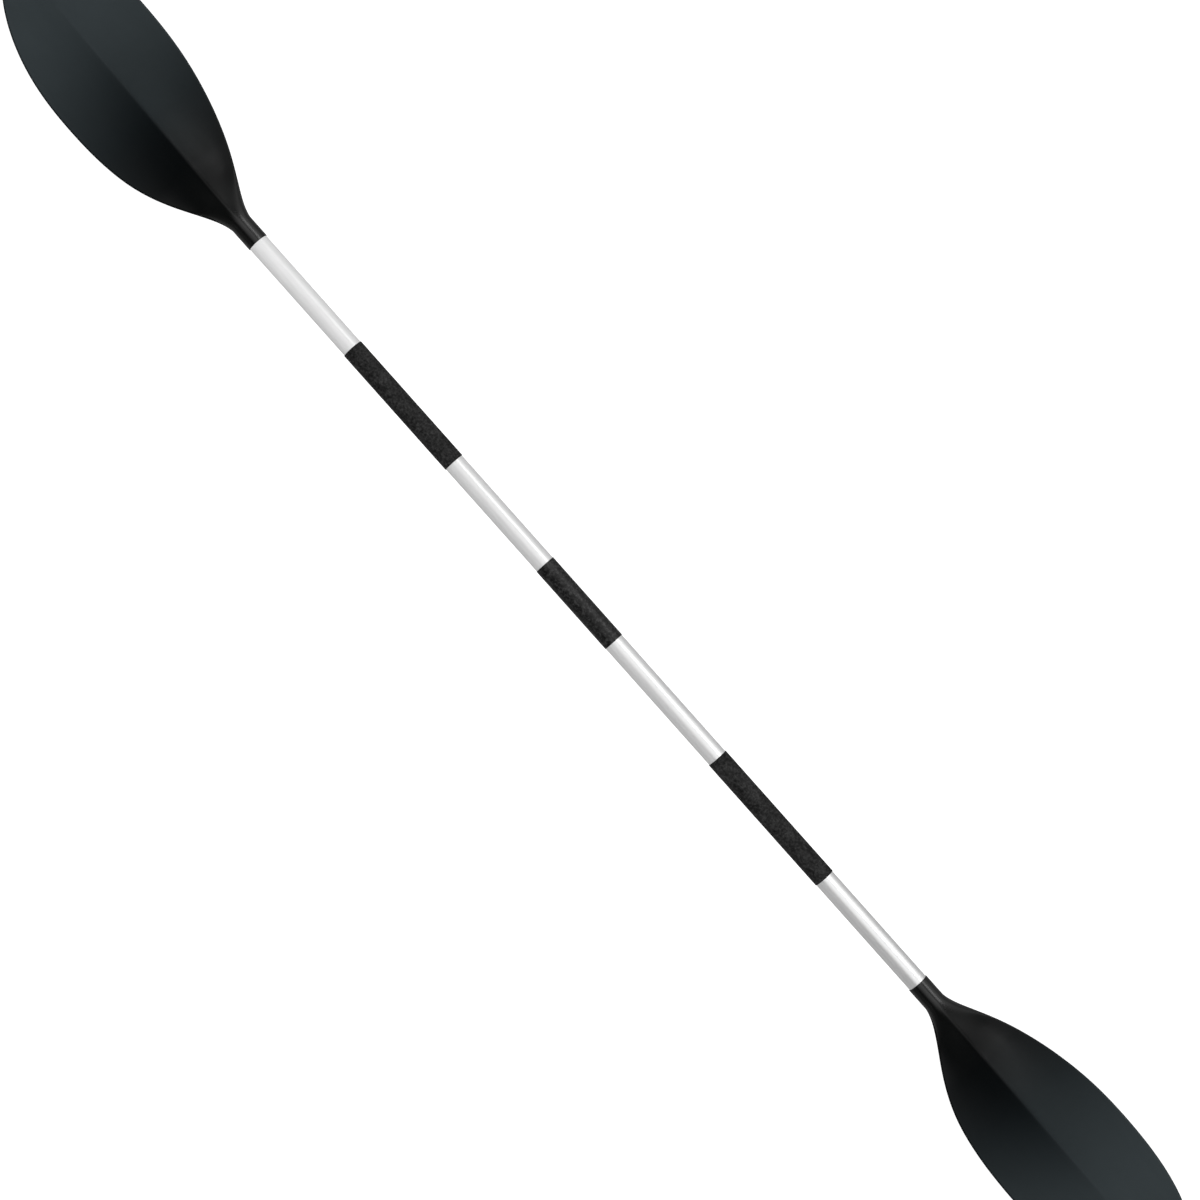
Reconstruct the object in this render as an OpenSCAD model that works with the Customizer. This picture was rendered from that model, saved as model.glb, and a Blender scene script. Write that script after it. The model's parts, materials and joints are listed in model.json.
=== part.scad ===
// Two-piece kayak paddle: a left and a right moulded dihedral blade on a
// take-apart aluminium shaft. The shaft's axis runs along X at height axis_h,
// the power faces look up (+Z), and the blades' edges rest on z = 0. Each blade
// is longer on its +Y side. Left is -X and right is +X. Millimetres.

/* [Overall] */
// Length of the shaft between the two blade necks
shaft_len = 1300; // [1100:10:1500]
// Height of the shaft's axis above the surface the paddle lies on
axis_h = 21.8; // [20:0.1:30]

/* [Blade] */
// Length of a blade's middle line, from the shaft's end to the tip
blade_len = 497; // [440:1:540]
// Widest width of a blade
blade_w = 183; // [150:1:220]
// Distance from the shaft's end to the widest place
widest_at = 302; // [250:2:330]
// How much further the +Y side reaches past the shoulders, mm per mm across
slant = 0.22; // [0:0.01:0.4]
// How much is added to that by the tip
tip_slant = 0.15; // [0:0.01:0.3]
// Offset of the ridge toward the longer side
ridge_shift = 1.5; // [0:0.5:6]
// Diameter of the neck
neck_d = 30; // [29:0.5:32]
// Length of the straight neck
neck_len = 33; // [20:1:45]
// Height of the ridge above the edges where the blade is deepest
ridge_h = 21; // [12:1:24]
// Thickness of the edges
edge_t = 2.6; // [2:0.2:4]
// Thickness along the middle, past the spine
middle_t = 5; // [4:0.2:7]
// How far the tip is scooped up above the shaft's axis
scoop = 18; // [0:1:30]
// Sideways lean of each blade: the left one to +Y and the right one to -Y, mm per mm
lean = 0.021; // [0:0.001:0.03]
// Length of the neck insert inside the tube
insert_out = 70; // [50:5:90]
// Length of the neck insert inside the blade's neck
insert_in = 26; // [16:1:28]

/* [Shaft] */
// Outer diameter of the tube
tube_d = 28; // [26:0.5:30]
// Wall of the tube
tube_t = 1.2; // [1:0.1:1.6]
// Where the two halves meet, from the middle of the paddle
split_x = 51; // [40:1:60]
// Length of a foam plug inside the tube
plug_len = 60; // [40:5:80]

/* [Grips] */
// Outer diameter of a grip
grip_d = 29.6; // [29:0.2:32]
// Length of the left grip
grip_left_len = 200; // [180:2:230]
// Distance from the middle of the paddle to the left grip
grip_left_from = 264; // [230:2:290]
// Length of the right grip
grip_right_len = 211; // [180:1:230]
// Distance from the middle of the paddle to the right grip
grip_right_from = 255; // [230:1:290]

/* [Collar and ferrule] */
// Outer diameter of the collar over the joint
collar_d = 29.2; // [29:0.2:31]
// Length of the collar
collar_len = 136; // [120:2:150]
// How far the ferrule reaches into the left tube
ferrule_out = 110; // [100:5:120]
// How far the ferrule is fixed into the right tube
ferrule_in = 70; // [50:5:90]
// Wall of the ferrule
ferrule_t = 1.6; // [1.2:0.1:2]
// Thickness of the rubber seal between the tube ends
seal_t = 1.6; // [1:0.2:2.4]

/* [Snap button] */
// Diameter of the button
button_d = 6.8; // [6:0.2:8]
// Distance from the joint to the button
button_in = 40; // [30:1:50]
// How far the button stands out of the collar
button_out = 2.4; // [1.5:0.1:3]
// Angle between the feather holes
feather = 60; // [30:5:60]

/* [Hidden] */

$fn = 96;
fit = 0.05;                             // radial gap of a sliding or glued fit
shaft_end = shaft_len / 2;
tube_r = tube_d / 2;
bore_r = tube_r - tube_t;
neck_r = neck_d / 2;
insert_bore = bore_r - 3.2;
ferrule_r = bore_r - fit;
ferrule_bore = ferrule_r - ferrule_t;
button_x = split_x - button_in;
button_top = collar_d / 2 + button_out; // from the shaft's axis
hole_gap = 0.1;                         // radial gap round the button
rivet_r = 2;
rivet_head_r = 4;
rivet_head_h = 1.1;
rivet_bulb_r = 2.9;
rivet_bulb_h = 2.4;
blade_rivet_in = 22;                    // from the shaft's end
ferrule_rivet_in = 45;                  // from the joint
collar_rivet_in = 18;                   // from the collar's left end
collar_x = split_x - collar_len;        // the collar's left end
spine_w = 14;                           // half width of the spine on the back

// ---------------------------------------------------------------- placing

// Moves a child from the shaft's axis to its height
module on_axis() {
    translate([0, 0, axis_h]) children();
}

// A round bar along the shaft, from x0 to x1
module bar(x0, x1, r) {
    translate([x0, 0, 0]) rotate([0, 90, 0]) cylinder(h = x1 - x0, r = r);
}

// A round tube along the shaft, from x0 to x1
module pipe(x0, x1, r_out, r_in) {
    difference() {
        bar(x0, x1, r_out);
        bar(x0 - 1, x1 + 1, r_in);
    }
}

// A sleeve over the shaft with a bevel at both mouths
module sleeve(x0, x1, r_out, r_in, bevel) {
    translate([x0, 0, 0]) rotate([0, 90, 0]) rotate_extrude() polygon([
        [r_in, 0], [r_out - bevel, 0], [r_out, bevel],
        [r_out, x1 - x0 - bevel], [r_out - bevel, x1 - x0], [r_in, x1 - x0]
    ]);
}

// A hole of radius r through the lower wall at x, turned by angle about the shaft
module lower_hole(x, r, angle = 0) {
    rotate([angle, 0, 0]) translate([x, 0, -30]) cylinder(h = 30, r = r, $fn = 48);
}

// A blind rivet in the lower wall at x: head outside, bulb inside
module rivet(x, outside_r, inside_r) {
    head_z = -outside_r - rivet_head_h;
    bulb_z = fit - sqrt(pow(inside_r, 2) - pow(rivet_bulb_r, 2));
    color("silver") on_axis() translate([x, 0, 0]) {
        difference() {
            translate([0, 0, head_z]) cylinder(h = rivet_head_h + 0.9, r = rivet_head_r, $fn = 48);
            rotate([0, 90, 0]) cylinder(h = 20, r = outside_r, center = true);
        }
        translate([0, 0, -outside_r - 0.1])
            cylinder(h = outside_r - inside_r + 1, r = rivet_r, $fn = 48);
        translate([0, 0, bulb_z]) cylinder(h = rivet_bulb_h, r = rivet_bulb_r, $fn = 48);
    }
}

// ---------------------------------------------------------------- blade shape

function clamp01(v) = min(1, max(0, v));
function smooth(v) = let (c = clamp01(v)) c * c * (3 - 2 * c);

tip_len = blade_len - widest_at;
flare_len = widest_at - neck_len;

// The shoulder's flare, hollowed beside the neck, from 0 at the neck to 1 at the widest
function hollow(v) = 1 - 0.78 * exp(-v / 0.19);
function flare(v) = (1 - pow(1 - v, 2.35)) * hollow(v) / hollow(1);

// Half width at u from the shaft's end: the flared shoulder, then the rounded tip
function half_w(u) =
    u < widest_at
        ? neck_r + (blade_w / 2 - neck_r) * flare(clamp01((u - neck_len) / flare_len))
        : blade_w / 2 * sqrt(max(0, 1 - pow((u - widest_at) / tip_len, 2.3)));

// Height of the ridge over the shaft's axis
function ridge_z(u) =
    neck_r * (1 - smooth((u - neck_len) / 100))
    + scoop * pow(clamp01((u - 100) / (blade_len - 100)), 1.4);

// Drop from the ridge to the edges, fading to nothing at the tip
function drop(u) =
    (neck_r + (ridge_h - neck_r) * smooth((u - neck_len) / 90))
    * pow(cos(90 * clamp01((u - 130) / (blade_len - 130))), 2);

// Thickness at the edges and along the middle, where the back has its spine
function rim_t(u) = 1 + (edge_t - 1) * smooth((u - neck_len) / 40);
function spine_t(u) =
    middle_t - (middle_t - edge_t) * smooth((u - 300) / (blade_len - 300))
    + (2 * neck_r - middle_t) * (1 - smooth((u - neck_len) / 180));

// Sideways offset of the whole section, easing in past the neck
function lean_y(u) = u < 50 ? 0 : lean * (u > 110 ? u - 80 : pow(u - 50, 2) / 120);

// Slant of the section, so that the +Y side runs further along
function slant_at(u) =
    slant * smooth((u - neck_len) / 180) + tip_slant * smooth((u - 280) / 220);

// Sideways offset of the ridge in its section
function ridge_y(u) = ridge_shift * smooth((u - 120) / 200);

// Share of the way from the round neck to the dihedral section
function opened(u) = smooth((u - neck_len) / 70);

function top_z(u, q) =
    let (
        m = opened(u),
        edge = ridge_z(u) - drop(u) + rim_t(u) / 2,
        shape = (1 - m) * sqrt(max(0, 1 - q * q)) + m * pow(1 - abs(q), 1.6)
    )
    edge + (ridge_z(u) - edge) * shape;

function bottom_z(u, q) =
    let (
        m = opened(u),
        across = half_w(u) * q / spine_w,
        t = rim_t(u) + (spine_t(u) - rim_t(u)) * exp(-across * across)
    )
    (1 - m) * (-neck_r * sqrt(max(0, 1 - q * q)) - rim_t(u) / 2 * abs(q))
    + m * (top_z(u, q) - t);

// Stations along the blade: close together at the neck and round the tip
neck_steps = 9;
flare_steps = 12;
tip_steps = 12;
stations = concat(
    [0, neck_len * 0.8],
    [for (i = [0:neck_steps - 1]) neck_len + 60 * i / neck_steps],
    [for (i = [0:flare_steps - 1]) neck_len + 60 + (flare_len - 60) * i / flare_steps],
    [for (i = [0:tip_steps]) widest_at + tip_len * sin(87 * i / tip_steps)]
);

// One ring of points round the blade at u; side is 1 or -1 for the way it leans
section_n = 18;
function across(j) = -cos(180 * j / section_n);
function section_point(u, q, z, side) =
    let (y = half_w(u) * q + ridge_y(u) * (1 - abs(q)))
    [u + slant_at(u) * y, y + side * lean_y(u), z];
function ring(u, side) = concat(
    [for (j = [0:section_n]) section_point(u, across(j), top_z(u, across(j)), side)],
    [for (j = [section_n:-1:0]) section_point(u, across(j), bottom_z(u, across(j)), side)]
);

module blade_loft(side) {
    n = 2 * (section_n + 1);
    rings = len(stations);
    points = [for (u = stations) each ring(u, side)];
    sides = [
        for (i = [0:rings - 2], j = [0:n - 1])
            let (a = i * n + j, b = i * n + (j + 1) % n)
            each [[a, b, b + n], [a, b + n, a + n]]
    ];
    first = [for (j = [n - 1:-1:0]) j];
    last = [for (j = [0:n - 1]) (rings - 1) * n + j];
    polyhedron(points, concat(sides, [first, last]));
}

// A blade with its tip toward +X and its neck's face at x = 0
module blade_shape(side) {
    difference() {
        blade_loft(side);
        bar(-1, insert_in, bore_r);
    }
}

// The hollow insert that joins a blade's neck to the tube, at the blade_shape's place
module insert_shape() {
    difference() {
        pipe(-insert_out, insert_in, bore_r - fit, insert_bore);
        lower_hole(-blade_rivet_in, rivet_r);
    }
}

// ---------------------------------------------------------------- blades and grips

module blade_right() {
    color("#23272a") on_axis() translate([shaft_end, 0, 0]) blade_shape(-1);
}

// The mirrored moulding, so that both longer sides are on +Y
module blade_left() {
    color("#23272a") on_axis() mirror([1, 0, 0]) translate([shaft_end, 0, 0]) blade_shape(1);
}

module neck_insert_right() {
    color("#303234") on_axis() translate([shaft_end, 0, 0]) insert_shape();
}

module neck_insert_left() {
    color("#303234") on_axis() rotate([0, 0, 180]) translate([shaft_end, 0, 0]) insert_shape();
}

module blade_rivet_right() {
    rivet(shaft_end - blade_rivet_in, tube_r, insert_bore);
}

module blade_rivet_left() {
    rivet(-shaft_end + blade_rivet_in, tube_r, insert_bore);
}

module grip_right() {
    color("#2b2b2c") on_axis()
        sleeve(grip_right_from, grip_right_from + grip_right_len, grip_d / 2, tube_r, 0.4);
}

module grip_left() {
    color("#2b2b2c") on_axis()
        sleeve(-grip_left_from - grip_left_len, -grip_left_from, grip_d / 2, tube_r, 0.4);
}

// ---------------------------------------------------------------- left half

module tube_left() {
    color("#d9dadb") on_axis() difference() {
        pipe(-shaft_end, split_x - seal_t, tube_r, bore_r);
        lower_hole(-shaft_end + blade_rivet_in, rivet_r);
        lower_hole(collar_x + collar_rivet_in, rivet_r);
        for (a = [-feather, 0, feather]) lower_hole(button_x, button_d / 2 + 2 * hole_gap, a);
    }
}

module collar() {
    color("#2b2b2c") on_axis() difference() {
        sleeve(collar_x, split_x, collar_d / 2, tube_r, 0.3);
        lower_hole(collar_x + collar_rivet_in, rivet_r);
        for (a = [-feather, 0, feather]) lower_hole(button_x, button_d / 2 + 3 * hole_gap, a);
    }
}

module collar_rivet() {
    rivet(collar_x + collar_rivet_in, collar_d / 2, bore_r);
}

module float_plug_left() {
    color("white") on_axis() bar(collar_x - plug_len, collar_x, bore_r);
}

// ---------------------------------------------------------------- right half

module tube_right() {
    color("#d9dadb") on_axis() difference() {
        pipe(split_x, shaft_end, tube_r, bore_r);
        lower_hole(shaft_end - blade_rivet_in, rivet_r);
        lower_hole(split_x + ferrule_rivet_in, rivet_r);
    }
}

ferrule_end = split_x - ferrule_out;
plug_rim = 2;

module ferrule() {
    color("#3a3c3e") on_axis() difference() {
        pipe(ferrule_end + plug_rim, split_x + ferrule_in, ferrule_r, ferrule_bore);
        lower_hole(split_x + ferrule_rivet_in, rivet_r);
        lower_hole(button_x, button_d / 2 + hole_gap);
    }
}

module ferrule_plug() {
    color("#1d1d1e") on_axis() {
        bar(ferrule_end, ferrule_end + plug_rim, ferrule_r - 0.3);
        bar(ferrule_end + plug_rim, ferrule_end + 12, ferrule_bore);
    }
}

module ferrule_rivet() {
    rivet(split_x + ferrule_rivet_in, tube_r, ferrule_bore);
}

// A flat rubber ring on the ferrule, squeezed between the two tube ends
module joint_seal() {
    color("#141414") on_axis() pipe(split_x - seal_t, split_x, tube_r - 0.1, bore_r);
}

module float_plug_right() {
    color("white") on_axis() bar(split_x + ferrule_in + 10, split_x + ferrule_in + 10 + plug_len, bore_r);
}

// ---------------------------------------------------------------- snap button

clip_w = 10;
clip_t = 0.7;
bend_r = 4;
clip_reach = 45;                        // from the bend to the arms' free ends
arm_end_z = 9.8;
clip_x = button_x + 7 - clip_reach;     // the bend's centre
stem_r = 1.6;

// The bend's arc from the upper arm round to the lower one
function bend(r, turns) = [for (a = turns) [r * cos(a), r * sin(a)]];

// A strip bent into a V, with a hole for the button's stem in the lower arm
module spring_clip() {
    inner_r = bend_r - clip_t;
    side_view = concat(
        [[clip_reach, arm_end_z]],
        bend(bend_r, [90:15:270]),
        [[clip_reach, -arm_end_z], [clip_reach, clip_t - arm_end_z]],
        bend(inner_r, [270:-15:90]),
        [[clip_reach, arm_end_z - clip_t]]
    );
    color("lightgray") on_axis() translate([clip_x, clip_w / 2, 0]) difference() {
        rotate([90, 0, 0]) linear_extrude(clip_w) polygon(side_view);
        translate([button_x - clip_x, -clip_w / 2, -arm_end_z - 1])
            cylinder(h = arm_end_z, r = stem_r + hole_gap, $fn = 48);
    }
}

// The button, with its dome down and its stem riveted through the clip's lower arm
module push_button() {
    shoulder_z = -10.2;
    dome_h = 1.6;
    color("lightgray") on_axis() translate([button_x, 0, 0]) rotate_extrude() polygon(concat(
        [for (a = [0:15:90])
            [button_d / 2 * sin(a), -button_top + dome_h * (1 - cos(a))]],
        [[button_d / 2, shoulder_z], [stem_r, shoulder_z], [stem_r, -7.6], [2.6, -7.6],
         [2.6, -6.8], [0, -6.8]]
    ));
}

blade_left();
blade_right();
tube_left();
tube_right();
grip_left();
grip_right();
collar();
collar_rivet();
ferrule();
ferrule_plug();
ferrule_rivet();
joint_seal();
spring_clip();
push_button();
float_plug_left();
float_plug_right();
neck_insert_left();
neck_insert_right();
blade_rivet_left();
blade_rivet_right();
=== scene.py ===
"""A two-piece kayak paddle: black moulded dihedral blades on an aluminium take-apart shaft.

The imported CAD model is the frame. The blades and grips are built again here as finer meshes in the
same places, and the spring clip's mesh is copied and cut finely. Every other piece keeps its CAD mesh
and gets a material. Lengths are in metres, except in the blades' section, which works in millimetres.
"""

import json
import math

import bmesh
import bpy
from mathutils import Matrix, Vector, noise


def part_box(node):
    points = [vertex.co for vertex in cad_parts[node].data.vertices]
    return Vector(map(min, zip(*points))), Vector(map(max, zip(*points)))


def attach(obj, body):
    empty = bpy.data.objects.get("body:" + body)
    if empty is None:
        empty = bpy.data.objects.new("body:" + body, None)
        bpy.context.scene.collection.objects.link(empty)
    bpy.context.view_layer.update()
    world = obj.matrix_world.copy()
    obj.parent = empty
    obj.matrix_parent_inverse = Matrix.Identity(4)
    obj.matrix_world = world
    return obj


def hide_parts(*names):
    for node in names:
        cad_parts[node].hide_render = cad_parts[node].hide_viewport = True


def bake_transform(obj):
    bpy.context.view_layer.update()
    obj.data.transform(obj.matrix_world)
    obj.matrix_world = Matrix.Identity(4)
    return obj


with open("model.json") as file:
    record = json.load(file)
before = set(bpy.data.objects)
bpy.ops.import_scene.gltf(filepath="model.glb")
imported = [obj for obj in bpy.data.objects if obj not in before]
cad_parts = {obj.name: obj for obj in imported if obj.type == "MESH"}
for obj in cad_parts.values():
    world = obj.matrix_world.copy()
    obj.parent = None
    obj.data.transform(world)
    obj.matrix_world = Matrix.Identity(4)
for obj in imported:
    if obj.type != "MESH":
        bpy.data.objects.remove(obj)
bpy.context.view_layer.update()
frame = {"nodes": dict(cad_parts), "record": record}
nodes = frame["nodes"]

MM = 0.001


# ---------------------------------------------------------------- places, from the frame

def centre(node):
    low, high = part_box(node)
    return (low + high) / 2


AXIS_Z = centre("tube_left").z
SHAFT_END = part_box("tube_right")[1].x
TUBE_R = (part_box("tube_right")[1].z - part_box("tube_right")[0].z) / 2


# ---------------------------------------------------------------- camera

# Straight above the paddle, turned so that the shaft runs down to the right.
SHAFT_SLOPE = math.radians(48.3)
LENS = 100              # focal length in mm, long enough to flatten the view
SENSOR = 36             # sensor width in mm
VIEW_WIDTH = 1.574      # what the frame spans at the shaft's height
TARGET_X = -0.002
TARGET_Y = 0.023
FAR_CLIP = 100

scene = bpy.context.scene


def add_camera():
    along = Vector((1, 0, 0))
    across = Vector((0, 1, 0))
    right = along * math.cos(SHAFT_SLOPE) + across * math.sin(SHAFT_SLOPE)
    up = across * math.cos(SHAFT_SLOPE) - along * math.sin(SHAFT_SLOPE)
    back = right.cross(up)
    target = Vector((TARGET_X, TARGET_Y, AXIS_Z))
    data = bpy.data.cameras.new("camera")
    data.lens = LENS
    data.sensor_width = SENSOR
    data.clip_end = FAR_CLIP
    camera = bpy.data.objects.new("camera", data)
    place = target + back * (VIEW_WIDTH * LENS / SENSOR)
    turn = Matrix((right, up, back)).transposed()
    camera.matrix_world = Matrix.Translation(place) @ turn.to_4x4()
    scene.collection.objects.link(camera)
    scene.camera = camera


add_camera()


# ---------------------------------------------------------------- material helpers

def set_stops(ramp, stops):
    """Fills a colour ramp with stops, each (position, colour or grey)."""
    elements = ramp.color_ramp.elements
    while len(elements) < len(stops):
        elements.new(0.5)
    for element, (position, colour) in zip(elements, stops):
        red, green, blue = colour if isinstance(colour, tuple) else (colour,) * 3
        element.position = position
        element.color = (red, green, blue, 1)


class Nodes:
    """A material's node tree with short calls for the nodes used here."""

    def __init__(self, name):
        self.material = bpy.data.materials.new(name)
        self.material.use_nodes = True
        self.tree = self.material.node_tree
        self.shader = self.tree.nodes["Principled BSDF"]
        coords = self.tree.nodes.new("ShaderNodeTexCoord")
        self.place = coords.outputs["Object"]

    def link(self, output, socket):
        self.tree.links.new(output, socket)

    def scaled(self, scale):
        """The object's coordinates, scaled by a number or a vector."""
        node = self.tree.nodes.new("ShaderNodeMapping")
        node.inputs["Scale"].default_value = scale if isinstance(scale, tuple) else (scale,) * 3
        self.link(self.place, node.inputs["Vector"])
        return node.outputs["Vector"]

    def component(self, axis):
        """One of the object's coordinates: "X", "Y" or "Z"."""
        node = self.tree.nodes.new("ShaderNodeSeparateXYZ")
        self.link(self.place, node.inputs["Vector"])
        return node.outputs[axis]

    def noise(self, scale, detail=3, roughness=0.5, vector=None):
        node = self.tree.nodes.new("ShaderNodeTexNoise")
        node.inputs["Scale"].default_value = scale
        node.inputs["Detail"].default_value = detail
        node.inputs["Roughness"].default_value = roughness
        self.link(vector or self.place, node.inputs["Vector"])
        return node.outputs["Fac"]

    def cells(self, scale):
        node = self.tree.nodes.new("ShaderNodeTexVoronoi")
        node.inputs["Scale"].default_value = scale
        self.link(self.place, node.inputs["Vector"])
        return node.outputs["Distance"]

    def ramp(self, value, stops):
        """Maps a value through colour stops."""
        node = self.tree.nodes.new("ShaderNodeValToRGB")
        set_stops(node, stops)
        self.link(value, node.inputs["Fac"])
        return node.outputs["Color"]

    def span(self, value, low, high, from_low=0.0, from_high=1.0):
        """Maps a value from the range from_low..from_high to low..high, and clamps it there."""
        node = self.tree.nodes.new("ShaderNodeMapRange")
        node.inputs["From Min"].default_value = from_low
        node.inputs["From Max"].default_value = from_high
        node.inputs["To Min"].default_value = low
        node.inputs["To Max"].default_value = high
        self.link(value, node.inputs["Value"])
        return node.outputs["Result"]

    def math(self, operation, a, b):
        node = self.tree.nodes.new("ShaderNodeMath")
        node.operation = operation
        for socket, value in zip(node.inputs, (a, b)):
            if isinstance(value, (int, float)):
                socket.default_value = value
            else:
                self.link(value, socket)
        return node.outputs["Value"]

    def bump(self, height, distance, strength=1.0, under=None):
        node = self.tree.nodes.new("ShaderNodeBump")
        node.inputs["Distance"].default_value = distance
        node.inputs["Strength"].default_value = strength
        self.link(height, node.inputs["Height"])
        if under is not None:
            self.link(under, node.inputs["Normal"])
        return node.outputs["Normal"]

    def set(self, **values):
        """Sets or links the shader's inputs; an underscore in a name stands for a space."""
        for name, value in values.items():
            socket = self.shader.inputs[name.replace("_", " ")]
            if isinstance(value, (int, float, tuple)):
                socket.default_value = value
            else:
                self.link(value, socket)


# ---------------------------------------------------------------- materials

def blade_plastic():
    """Black glass-filled nylon: glossy on the neck, spark-eroded and blue-grey toward the tip, with
    painted light that lightens its colour from the neck toward the tip.
    """
    reach = 0.40            # how far past the shaft's end the finish goes on changing
    m = Nodes("blade_plastic")
    cloud = m.noise(9, detail=4)
    grain = m.noise(2600, detail=2, roughness=0.6)
    scuff = m.noise(70, detail=6, roughness=0.7, vector=m.scaled((0.25, 1, 1)))
    along = m.math("ABSOLUTE", m.component("X"), 0)
    share = m.span(along, 0, 1, SHAFT_END, SHAFT_END + reach)
    # Painted light: the base colour lightens from the neck toward the tip, standing in for the light
    # that the scooped tip catches; the blue-grey cast and the cloud's blotches are the plastic's own.
    tipward_painted_light = m.span(along, 0, 1, SHAFT_END + 0.05, SHAFT_END + 0.38)
    chalk_and_painted_light = m.math("ADD", tipward_painted_light, m.span(cloud, -0.06, 0.06))
    gloss = m.ramp(share, [
        (0.0, 0.50), (0.08, 0.50), (0.125, 0.42), (0.2, 0.34), (0.26, 0.22), (0.345, 0.12),
        (0.525, 0.17), (0.82, 0.36), (1.0, 0.42),
    ])
    rough = m.span(along, 0.23, 0.36, SHAFT_END + 0.03, SHAFT_END + 0.08)
    m.set(
        Base_Color=m.ramp(chalk_and_painted_light, [
            (0.0, (0.0010, 0.0012, 0.0011)),
            (0.4, (0.0018, 0.0026, 0.0030)),
            (1.0, (0.0085, 0.0120, 0.0140)),
        ]),
        Roughness=m.math("ADD", rough, m.span(scuff, -0.03, 0.04, 0.3, 0.7)),
        Specular_IOR_Level=gloss,
        Specular_Tint=m.ramp(share, [(0.30, 1.0), (0.55, (0.80, 0.95, 1.0))]),
        Normal=m.bump(grain, 0.00006, under=m.bump(cloud, 0.0004, strength=0.3)),
    )
    return m.material


def shaft_aluminium():
    """Clear anodised tube: drawn lines under a satin finish, more metallic toward +X."""
    m = Nodes("shaft_aluminium")
    lines = m.noise(1, detail=3, vector=m.scaled((6, 1500, 1500)))
    cloud = m.noise(14, detail=3, vector=m.scaled((0.3, 1, 1)))
    streaks = m.noise(1, detail=4, roughness=0.7, vector=m.scaled((30, 420, 420)))
    tone = m.math("ADD", m.span(cloud, 0, 0.5, 0.3, 0.7), m.span(streaks, 0, 0.5, 0.3, 0.7))
    m.set(
        Base_Color=m.ramp(tone, [(0.0, 0.83), (1.0, 0.96)]),
        Metallic=m.span(m.component("X"), 0.05, 0.6, -SHAFT_END, SHAFT_END),
        Specular_IOR_Level=0.25,
        Roughness=m.math("ADD", m.span(lines, -0.04, 0.05), m.span(cloud, 0.30, 0.36)),
        Normal=m.bump(lines, 0.00001, strength=0.6),
    )
    return m.material


def grip_foam():
    """Dense black grip sleeve with a fine open grain."""
    m = Nodes("grip_foam")
    pores = m.cells(1300)
    grain = m.noise(300, detail=4, roughness=0.7)
    cloud = m.noise(60, detail=4, roughness=0.6)
    tone = m.math("ADD", m.span(grain, -0.5, 0.5, 0.35, 0.65), m.span(cloud, 0.25, 0.75, 0.3, 0.7))
    m.set(
        Base_Color=m.ramp(tone, [(0.0, 0.005), (0.5, 0.020), (1.0, 0.044)]),
        Roughness=m.span(grain, 0.52, 0.70, 0.3, 0.7),
        Specular_IOR_Level=0.12,
        Normal=m.bump(pores, 0.00008, under=m.bump(grain, 0.00015)),
    )
    return m.material


def collar_plastic():
    """Matte black moulded nylon for the collar and the ferrule's plug."""
    m = Nodes("collar_plastic")
    grain = m.noise(1500, detail=2, roughness=0.6)
    cloud = m.noise(45, detail=4, roughness=0.6)
    mottle = m.noise(260, detail=3, roughness=0.7)
    m.set(
        Base_Color=m.ramp(mottle, [(0.38, 0.001), (0.5, 0.009), (0.64, 0.040)]),
        Specular_IOR_Level=0.28,
        Roughness=m.span(cloud, 0.40, 0.50, 0.3, 0.7),
        Normal=m.bump(grain, 0.00008),
    )
    return m.material


def ferrule_plastic():
    """Glass-filled ferrule: dark grey with short fibres showing as streaks."""
    m = Nodes("ferrule_plastic")
    fibres = m.noise(1, detail=3, vector=m.scaled((300, 1800, 1800)))
    rub = m.noise(1, detail=4, vector=m.scaled((8, 260, 260)))
    m.set(
        Base_Color=m.ramp(fibres, [(0.35, 0.022), (0.62, 0.04), (0.7, 0.07)]),
        Roughness=m.span(rub, 0.30, 0.52, 0.3, 0.7),
        Normal=m.bump(fibres, 0.00004),
    )
    return m.material


def seal_rubber():
    """Smooth black rubber with a faint bloom."""
    m = Nodes("seal_rubber")
    bloom = m.noise(300, detail=4)
    m.set(
        Base_Color=m.ramp(bloom, [(0.3, 0.009), (0.75, 0.02)]),
        Roughness=m.span(bloom, 0.5, 0.66, 0.3, 0.7),
        Normal=m.bump(bloom, 0.00003),
    )
    return m.material


def spring_steel():
    """Rolled stainless strip and the turned button."""
    m = Nodes("spring_steel")
    rolled = m.noise(1, detail=3, vector=m.scaled((60, 2200, 900)))
    m.set(
        Base_Color=m.ramp(rolled, [(0.3, (0.52, 0.52, 0.51)), (0.7, (0.68, 0.68, 0.67))]),
        Metallic=1.0,
        Roughness=m.span(rolled, 0.22, 0.36, 0.3, 0.7),
        Normal=m.bump(rolled, 0.00001),
    )
    return m.material


def rivet_aluminium():
    """Pressed rivet heads, slightly dulled."""
    m = Nodes("rivet_aluminium")
    dull = m.noise(500, detail=4)
    m.set(
        Base_Color=m.ramp(dull, [(0.3, 0.55), (0.7, 0.76)]),
        Metallic=1.0,
        Roughness=m.span(dull, 0.28, 0.46, 0.3, 0.7),
        Normal=m.bump(dull, 0.00003),
    )
    return m.material


def float_foam():
    """White closed-cell foam plugs, which show only when the halves are apart."""
    m = Nodes("float_foam")
    cells = m.cells(700)
    m.set(
        Base_Color=m.ramp(cells, [(0.0, (0.62, 0.62, 0.58)), (0.6, (0.84, 0.84, 0.8))]),
        Roughness=m.span(cells, 0.85, 0.98),
        Normal=m.bump(cells, 0.0004),
    )
    return m.material


MATERIALS = {make.__name__: make() for make in (
    blade_plastic, shaft_aluminium, grip_foam, collar_plastic, ferrule_plastic,
    seal_rubber, spring_steel, rivet_aluminium, float_foam,
)}
SLOT_OF = {row["node"]: row["material_slot"] for row in frame["record"]["subparts"]}

for name, obj in nodes.items():
    obj.data.materials.clear()
    obj.data.materials.append(MATERIALS[SLOT_OF[name]])


# ---------------------------------------------------------------- mesh helpers

WELD = 0.02 * MM            # points closer than this become one


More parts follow.
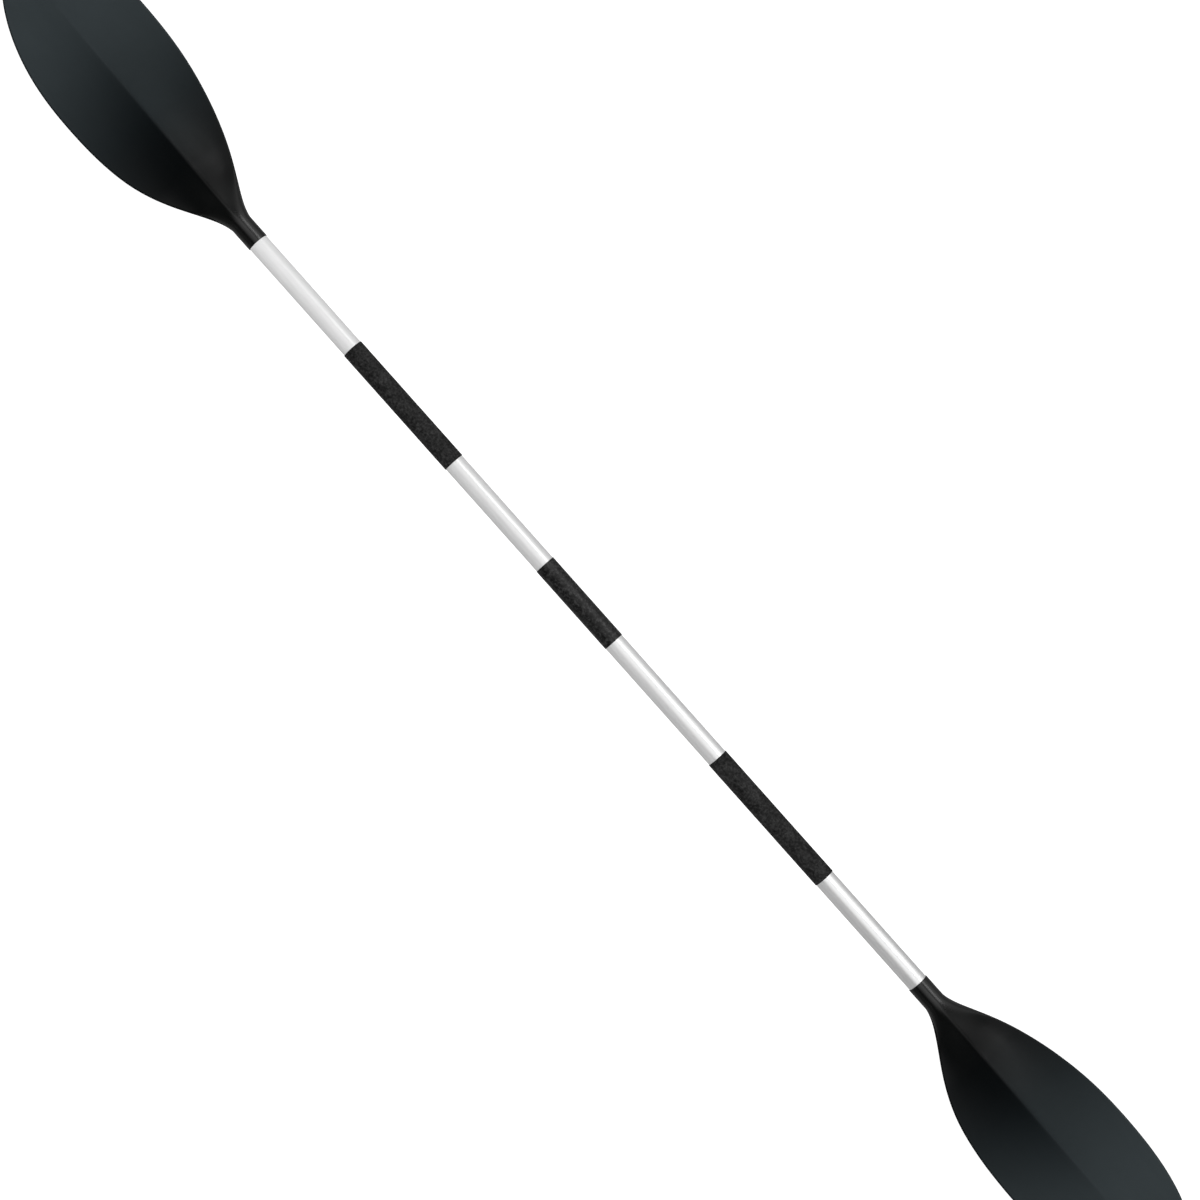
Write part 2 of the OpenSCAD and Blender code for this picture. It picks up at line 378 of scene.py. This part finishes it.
def add_piece(name, points, faces, node):
    """A smooth-shaded piece that stands for a CAD node, on its body and in its material."""
    slot = SLOT_OF[node]
    mesh = bpy.data.meshes.new(name)
    mesh.from_pydata(points, [], faces)
    mesh.materials.append(MATERIALS[slot])
    mesh.validate()
    mesh.shade_smooth()
    obj = bpy.data.objects.new(name, mesh)
    scene.collection.objects.link(obj)
    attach(obj, body_of(node))
    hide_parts(node)
    return obj


def body_of(node):
    bodies = frame["record"]["behaviour"]["bodies"]
    return next(body for body, members in bodies.items() if node in members)


def loft_faces(rings, count, closed=False):
    """Quads between rings of count points each; closed also joins the last ring to the first."""
    steps = rings if closed else rings - 1
    faces = []
    for i in range(steps):
        a = i * count
        b = (i + 1) % rings * count
        for j in range(count):
            k = (j + 1) % count
            faces.append((a + j, a + k, b + k, b + j))
    return faces


def close_mesh(obj):
    """Welds points that meet, and turns all faces outward."""
    bm = bmesh.new()
    bm.from_mesh(obj.data)
    bmesh.ops.remove_doubles(bm, verts=bm.verts, dist=WELD)
    bmesh.ops.recalc_face_normals(bm, faces=bm.faces)
    bm.to_mesh(obj.data)
    bm.free()
    obj.data.shade_smooth()


def clamp(v):
    return min(1.0, max(0.0, v))


def smooth(v):
    """Eases from 0 to 1 as v goes from 0 to 1."""
    v = clamp(v)
    return v * v * (3 - 2 * v)


def arc(v):
    """Height of a unit circle at v from its middle."""
    return math.sqrt(max(0.0, 1 - v * v))


# ---------------------------------------------------------------- blades

# The driving dimensions and easings repeat the CAD blade's, whose mesh is too coarse to take them
# from. In this section u is the distance from the shaft's end in millimetres, and q is a place
# across the blade, from -1 at one edge through 0 at the ridge to 1 at the other.
BLADE_LEN_MM = 497
BLADE_W_MM = 183
WIDEST_AT_MM = 302
SLANT = 0.22
TIP_SLANT = 0.15
RIDGE_SHIFT_MM = 1.5
NECK_R_MM = 15
NECK_LEN_MM = 33
RIDGE_H_MM = 21
EDGE_T_MM = 2.6
MIDDLE_T_MM = 5
SCOOP_MM = 18
LEAN = 0.021
SPINE_W_MM = 14

# How the outline and the faces curve
FLARE_POWER = 2.35
HOLLOW_DEPTH = 0.78         # how much the shoulders are hollowed right at the neck
HOLLOW_REACH = 0.19         # how soon that dies away, as a share of the flare
TIP_POWER = 2.3
FACE_POWER = 1.6            # more than 1 makes the slopes from the ridge hollow
SCOOP_POWER = 1.4
SCOOP_FROM_MM = 100
FADE_FROM_MM = 130          # where the ridge starts to fade
THIN_FROM_MM = 300          # where the middle starts to thin

# The neck's mouth and the socket in it
SOCKET_R_MM = 12.8
SOCKET_DEPTH_MM = 26
SOCKET_BEVEL_MM = 0.3
NECK_ROUNDING_MM = ((0, 0.7), (0.2, 0.25), (0.7, 0))    # (in from the mouth, in from the neck's side)

# The finer shape of the ridge and the rim, which the CAD blade leaves out
RIDGE_ROUND_MM = 1.2        # the crest's radius toward the tip, roughly
RIDGE_SOFT_MM = 4           # how much rounder it is at the neck
NARROW_MM = 20              # half width below which the ridge goes back to the middle
EDGE_ROLL_MM = 2.4          # how far in from the edge the top face starts to roll over
RIM_LOW = 0.5               # how far below its middle the rim is widest, as a share of half its height
RIM_FOOT = 0.75             # how far out the rim's foot is, as a share of its widest

# How finely the blade is divided
HALF_STEPS = 26             # from the ridge to an edge
RIM_STEPS = 10              # round the rim
NECK_STATIONS_MM = [3, 10, 20, 28]
OPENING_STEPS = 44          # from the neck's end to where the section has opened
OPENING_STEP_MM = 2.5
FLARE_STEPS = 30            # from there to the widest place
TIP_STEPS = 40

FLARE_LEN_MM = WIDEST_AT_MM - NECK_LEN_MM
TIP_LEN_MM = BLADE_LEN_MM - WIDEST_AT_MM - EDGE_ROLL_MM


def eased(u, over, start=NECK_LEN_MM):
    """Eases from 0 at start, which is the neck's end unless given, to 1 the distance over past it."""
    return smooth((u - start) / over)


def opened(u):
    """Share of the way from the round neck to the dihedral section."""
    return eased(u, over=70)


def inset(u):
    """How far the rounded rim stands out beyond the two faces."""
    return EDGE_ROLL_MM * eased(u, over=40)


def hollow(v):
    """Share of the flare that is left at v, where the shoulders are hollowed beside the neck."""
    return 1 - HOLLOW_DEPTH * math.exp(-v / HOLLOW_REACH)


def outline(u):
    """Half width of the faces at u, inside the rounded rim."""
    full = BLADE_W_MM / 2
    if u < WIDEST_AT_MM:
        v = clamp((u - NECK_LEN_MM) / FLARE_LEN_MM)
        flare = (1 - (1 - v) ** FLARE_POWER) * hollow(v) / hollow(1)
        return NECK_R_MM + (full - NECK_R_MM) * flare - inset(u)
    along = clamp((u - WIDEST_AT_MM) / TIP_LEN_MM)
    return (full - EDGE_ROLL_MM) * math.sqrt(1 - along ** TIP_POWER)


def slant_at(u):
    """Slant of a section, so that the +Y side runs further along."""
    return SLANT * eased(u, over=180) + TIP_SLANT * eased(u, over=220, start=280)


def ridge_y(u):
    """Sideways offset of the ridge in its section."""
    return RIDGE_SHIFT_MM * eased(u, over=200, start=120)


def outward(u, side):
    """The slanted outline's normal at u on one side, as (along, across)."""
    smallest_half = 0.5     # narrower than this, at the very tip, the normal points along
    step = 0.05
    if outline(u) < smallest_half:
        return Vector((1, -slant_at(u))).normalized()
    before, after = max(0, u - step), u + step
    rise = (outline(after) - outline(before)) / (after - before)
    shift = slant_at(after) * outline(after) - slant_at(before) * outline(before)
    return Vector((-rise, side + shift / (after - before))).normalized()


def ridge_z(u):
    """Height of the ridge over the shaft's axis."""
    up = clamp((u - SCOOP_FROM_MM) / (BLADE_LEN_MM - SCOOP_FROM_MM))
    return NECK_R_MM * (1 - eased(u, over=100)) + SCOOP_MM * up ** SCOOP_POWER


def drop(u):
    """Drop from the ridge to the edges, fading to nothing at the tip."""
    depth = NECK_R_MM + (RIDGE_H_MM - NECK_R_MM) * eased(u, over=90)
    fade = clamp((u - FADE_FROM_MM) / (BLADE_LEN_MM - FADE_FROM_MM))
    return depth * math.cos(math.pi / 2 * fade) ** 2


def rim_t(u):
    """Thickness at the edges."""
    return 1 + (EDGE_T_MM - 1) * eased(u, over=40)


def spine_t(u):
    """Thickness along the middle, where the back has its spine."""
    thinned = eased(u, over=BLADE_LEN_MM - THIN_FROM_MM, start=THIN_FROM_MM)
    spine = (2 * NECK_R_MM - MIDDLE_T_MM) * (1 - eased(u, over=180))
    return MIDDLE_T_MM - (MIDDLE_T_MM - EDGE_T_MM) * thinned + spine


def lean_y(u):
    """Sideways offset of a whole section: a straight lean, eased in past the neck."""
    start, ease = 50, 60
    past = max(0, u - start)
    return LEAN * (past ** 2 / (2 * ease) if past < ease else past - ease / 2)


def top_z(u, q):
    """Height of the power face: round at the neck, then hollow slopes from a rounded crest."""
    m = opened(u)
    narrowest = 4           # keeps the crest from filling the section at the tip
    crest_mm = RIDGE_ROUND_MM + RIDGE_SOFT_MM * (1 - eased(u, over=150))
    crest = m * crest_mm / max(outline(u), narrowest)
    from_ridge = clamp((math.hypot(q, crest) - crest) / (math.hypot(1, crest) - crest))
    edge = ridge_z(u) - drop(u) + rim_t(u) / 2
    shape = (1 - m) * arc(q) + m * (1 - from_ridge) ** FACE_POWER
    return edge + (ridge_z(u) - edge) * shape


def bottom_z(u, q):
    """Height of the back face: round at the neck, then the power face less the thickness."""
    m = opened(u)
    across = outline(u) * q / SPINE_W_MM
    thick = rim_t(u) + (spine_t(u) - rim_t(u)) * math.exp(-across * across)
    round_neck = -NECK_R_MM * arc(q) - rim_t(u) / 2 * abs(q)
    return (1 - m) * round_neck + m * (top_z(u, q) - thick)


def rim_reach(height):
    """How far out the rim is at a height from -1 to 1: widest low down, rolled over above."""
    if height > -RIM_LOW:
        return arc((height + RIM_LOW) / (1 + RIM_LOW))
    return RIM_FOOT + (1 - RIM_FOOT) * arc((height + RIM_LOW) / (1 - RIM_LOW))


def section(u, lean_side):
    """One ring of points round the blade at u: over the top, round a rim, back underneath."""
    half = outline(u)
    edge = ridge_z(u) - drop(u)
    sideways = lean_side * lean_y(u)

    def face_point(q, z):
        y = half * q + ridge_y(u) * (1 - abs(q)) * min(1, half / NARROW_MM)
        return (u + slant_at(u) * y, y + sideways, z)

    def rim(side):
        foot = Vector((u + slant_at(u) * side * half, side * half + sideways))
        ring = []
        for j in range(1, RIM_STEPS):
            height = side * math.cos(math.pi * j / RIM_STEPS)
            x, y = foot + outward(u, side) * inset(u) * rim_reach(height)
            ring.append((x, y, edge + rim_t(u) / 2 * height))
        return ring

    share = [smooth(j / HALF_STEPS) for j in range(HALF_STEPS + 1)]
    qs = [-q for q in reversed(share[1:])] + share
    top = [face_point(q, top_z(u, q)) for q in qs]
    bottom = [face_point(q, bottom_z(u, q)) for q in reversed(qs)]
    return top + rim(1) + bottom + rim(-1)


def round_ring(u, radius):
    """A circle with as many points as a section, matched to it point by point."""
    points = []
    for _, y, z in section(0, 0):
        length = math.hypot(y, z)
        points.append((u, y / length * radius, z / length * radius))
    return points


def blade_rings(lean_side):
    """All rings of one blade, from the bottom of its neck's socket to its tip."""
    floor_r = 0.5           # the last small circle in the socket's floor
    opened_at = NECK_LEN_MM + OPENING_STEP_MM * OPENING_STEPS
    flare = WIDEST_AT_MM - opened_at
    stations = (
        NECK_STATIONS_MM
        + [NECK_LEN_MM + OPENING_STEP_MM * i for i in range(OPENING_STEPS)]
        + [opened_at + flare * i / FLARE_STEPS for i in range(FLARE_STEPS)]
        + [
            WIDEST_AT_MM + TIP_LEN_MM * math.sin(math.pi / 2 * i / TIP_STEPS)
            for i in range(TIP_STEPS + 1)
        ]
    )
    socket = [
        round_ring(SOCKET_DEPTH_MM, floor_r),
        round_ring(SOCKET_DEPTH_MM, SOCKET_R_MM),
        round_ring(SOCKET_BEVEL_MM, SOCKET_R_MM),
        round_ring(0, SOCKET_R_MM + SOCKET_BEVEL_MM),
    ]
    mouth = [round_ring(along, NECK_R_MM - inward) for along, inward in NECK_ROUNDING_MM]
    return socket + mouth + [section(u, lean_side) for u in stations]


def add_blade(node, end):
    """The blade at one end of the shaft: end is 1 for the right one and -1 for the left."""
    rings = blade_rings(-end)
    count = len(rings[0])
    points = [
        (end * (SHAFT_END + x * MM), y * MM, AXIS_Z + z * MM)
        for ring in rings for x, y, z in ring
    ]
    faces = loft_faces(len(rings), count)
    faces.append(tuple(range(count)))
    last = (len(rings) - 1) * count
    faces.append(tuple(last + j for j in range(count)))
    blade = add_piece(node + "_shell", points, faces, node)
    close_mesh(blade)


add_blade("blade_right", 1)
add_blade("blade_left", -1)


# ---------------------------------------------------------------- grips

GRIP_ROUND = 0.5 * MM       # rounding of a sleeve's mouth
GRIP_UNEVEN = 0.07 * MM     # how far the foam's surface wanders
RING_GAP = 2 * MM           # distance between the rings of a sleeve
AROUND = 96                 # points in a ring
ROUND_STEPS = 4             # steps in the rounding


def sleeve_profile(length, inner, outer):
    """Half section of a sleeve as (along, radius): out over one mouth, along, and in at the other."""
    turn = [math.pi / 2 * i / ROUND_STEPS for i in range(ROUND_STEPS, -1, -1)]
    start = [
        (GRIP_ROUND * (1 - math.sin(a)), outer - GRIP_ROUND * (1 - math.cos(a)))
        for a in turn
    ]
    straight = length - 2 * GRIP_ROUND
    rings = round(length / RING_GAP)
    along = [(GRIP_ROUND + straight * i / rings, outer) for i in range(1, rings)]
    end = [(length - x, r) for x, r in reversed(start)]
    return [(0, inner)] + start + along + end + [(length, inner)]


def add_grip(node):
    """A foam sleeve whose surface wanders by a few hundredths of a millimetre."""
    broad, fine = 90, 260       # the scales of the two waves in the surface
    fine_share = 0.6
    low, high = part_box(node)
    outer = (high.z - low.z) / 2
    profile = sleeve_profile(high.x - low.x, TUBE_R, outer)
    points = []
    for x, radius in profile:
        for j in range(AROUND):
            angle = 2 * math.pi * j / AROUND
            way = Vector((0, math.cos(angle), math.sin(angle)))
            place = Vector((low.x + x, 0, AXIS_Z)) + way * radius
            if radius > TUBE_R:
                wander = noise.noise(place * broad) + fine_share * noise.noise(place * fine)
                place += way * GRIP_UNEVEN * wander
            points.append(place)
    faces = loft_faces(len(profile), AROUND, closed=True)
    grip = add_piece(node + "_sleeve", points, faces, node)
    close_mesh(grip)


add_grip("grip_left")
add_grip("grip_right")


# ---------------------------------------------------------------- spring clip

BEND_R = 4 * MM         # outer radius of the clip's bend
LEAF_STEP = 2.5 * MM    # spacing of the cuts across the leaf


def add_clip():
    """The clip's own mesh, cut finely."""
    low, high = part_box("spring_clip")
    bend_x = low.x + BEND_R
    mesh = nodes["spring_clip"].data.copy()
    bm = bmesh.new()
    bm.from_mesh(mesh)
    for i in range(int((high.x - bend_x) / LEAF_STEP) + 1):
        cut = (bend_x + i * LEAF_STEP, 0, 0)
        everything = bm.verts[:] + bm.edges[:] + bm.faces[:]
        bmesh.ops.bisect_plane(bm, geom=everything, plane_co=cut, plane_no=(1, 0, 0))
    bm.to_mesh(mesh)
    bm.free()
    leaf = bpy.data.objects.new("spring_clip_leaf", mesh)
    scene.collection.objects.link(leaf)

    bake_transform(leaf)
    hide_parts("spring_clip")


add_clip()


# ---------------------------------------------------------------- floor, light and world

FLOOR_Z = -0.075            # low enough for a feathered blade to swing clear of it
FLOOR_REACH = 40            # from the middle to an edge
FLOOR_GLOW = 0.85           # the paper's own brightness, which only the camera sees
FLOOR_BOUNCE = 0.4          # the share of light that it gives back to everything else
BACKDROP = 0.93             # what the camera sees past the floor
SURROUND_STRENGTH = 1.38


def add_floor():
    """White paper. It is see-through from below, so that it doesn't hide the paddle's back."""
    corners = [
        (x * FLOOR_REACH, y * FLOOR_REACH, FLOOR_Z)
        for x, y in ((-1, -1), (1, -1), (1, 1), (-1, 1))
    ]
    mesh = bpy.data.meshes.new("floor")
    mesh.from_pydata(corners, [], [(0, 1, 2, 3)])
    floor = bpy.data.objects.new("floor", mesh)
    scene.collection.objects.link(floor)
    m = Nodes("floor_paper")
    cloud = m.noise(0.4, detail=2)
    m.set(
        Base_Color=m.ramp(cloud, [(0.3, 0.50), (0.7, 0.52)]),
        Roughness=0.9,
        Specular_IOR_Level=0.1,
        Emission_Color=(1, 1, 1, 1),
        Emission_Strength=FLOOR_GLOW,
    )

    def mixed(share, first, second):
        """One shader, turning into another as share goes from 0 to 1."""
        node = m.tree.nodes.new("ShaderNodeMixShader")
        for socket, output in zip(node.inputs, (share, first, second)):
            m.link(output, socket)
        return node.outputs["Shader"]

    to_camera = m.tree.nodes.new("ShaderNodeLightPath").outputs["Is Camera Ray"]
    from_below = m.tree.nodes.new("ShaderNodeNewGeometry").outputs["Backfacing"]
    dim = m.tree.nodes.new("ShaderNodeBsdfDiffuse")
    dim.inputs["Color"].default_value = (FLOOR_BOUNCE, FLOOR_BOUNCE, FLOOR_BOUNCE, 1)
    clear = m.tree.nodes.new("ShaderNodeBsdfTransparent")
    paper = mixed(to_camera, dim.outputs["BSDF"], m.shader.outputs["BSDF"])
    hidden = m.math("MULTIPLY", to_camera, from_below)
    surface = mixed(hidden, paper, clear.outputs["BSDF"])
    m.link(surface, m.tree.nodes["Material Output"].inputs["Surface"])
    mesh.materials.append(m.material)


def add_area(name, place, size, watts, mirrored=True):
    """A softbox aimed at the paddle's middle; one that isn't mirrored shows in no reflection."""
    data = bpy.data.lights.new(name, "AREA")
    data.shape = "RECTANGLE"
    data.size, data.size_y = size
    data.energy = watts
    light = bpy.data.objects.new(name, data)
    light.location = place
    aim = Vector((0, 0, 0)) - Vector(place)
    light.rotation_euler = aim.to_track_quat("-Z", "Y").to_euler()
    light.visible_glossy = mirrored
    scene.collection.objects.link(light)


def add_world():
    """Soft studio surround: a bright band overhead, a second one toward +Y, and dark toward -Y."""
    world = bpy.data.worlds.new("studio")
    world.use_nodes = True
    tree = world.node_tree

    def grey_ramp(value, stops):
        """Maps a direction's component, -1 to 1, through grey stops."""
        share = tree.nodes.new("ShaderNodeMapRange")
        share.inputs["From Min"].default_value = -1
        tree.links.new(value, share.inputs["Value"])
        ramp = tree.nodes.new("ShaderNodeValToRGB")
        set_stops(ramp, [((component + 1) / 2, grey) for component, grey in stops])
        tree.links.new(share.outputs["Result"], ramp.inputs["Fac"])
        return ramp.outputs["Color"]

    coords = tree.nodes.new("ShaderNodeTexCoord")
    split = tree.nodes.new("ShaderNodeSeparateXYZ")
    tree.links.new(coords.outputs["Generated"], split.inputs["Vector"])
    sideways = grey_ramp(split.outputs["Y"], [
        (-1.0, 0.10), (-0.85, 0.16), (-0.63, 0.01), (-0.50, 0.08), (-0.42, 0.24), (-0.3, 0.55),
        (-0.12, 0.74), (0.0, 0.8), (0.15, 1.1), (0.28, 1.0), (0.40, 0.36), (0.62, 0.08),
        (0.78, 0.8), (0.92, 0.8), (1.0, 0.4),
    ])
    lengthwise = grey_ramp(split.outputs["X"], [
        (-0.8, 0.3), (-0.5, 0.45), (-0.2, 1.0), (0.2, 1.0), (0.5, 0.45), (0.8, 0.3),
    ])
    surround = tree.nodes.new("ShaderNodeMix")
    surround.data_type = "RGBA"
    surround.blend_type = "MULTIPLY"
    surround.inputs["Factor"].default_value = 1
    tree.links.new(sideways, surround.inputs["A"])
    tree.links.new(lengthwise, surround.inputs["B"])
    path = tree.nodes.new("ShaderNodeLightPath")
    seen = tree.nodes.new("ShaderNodeMix")
    seen.data_type = "RGBA"
    tree.links.new(path.outputs["Is Camera Ray"], seen.inputs["Factor"])
    tree.links.new(surround.outputs["Result"], seen.inputs["A"])
    seen.inputs["B"].default_value = (BACKDROP, BACKDROP, BACKDROP, 1)
    background = tree.nodes["Background"]
    background.inputs["Strength"].default_value = SURROUND_STRENGTH
    tree.links.new(seen.outputs["Result"], background.inputs["Color"])
    scene.world = world


add_floor()
add_world()
add_area("key", place=(0, 2.9, 3.15), size=(3.4, 1.3), watts=52)
add_area("fill", place=(0, -3.0, 2.4), size=(3.0, 2.0), watts=60, mirrored=False)

scene.view_settings.view_transform = "Standard"
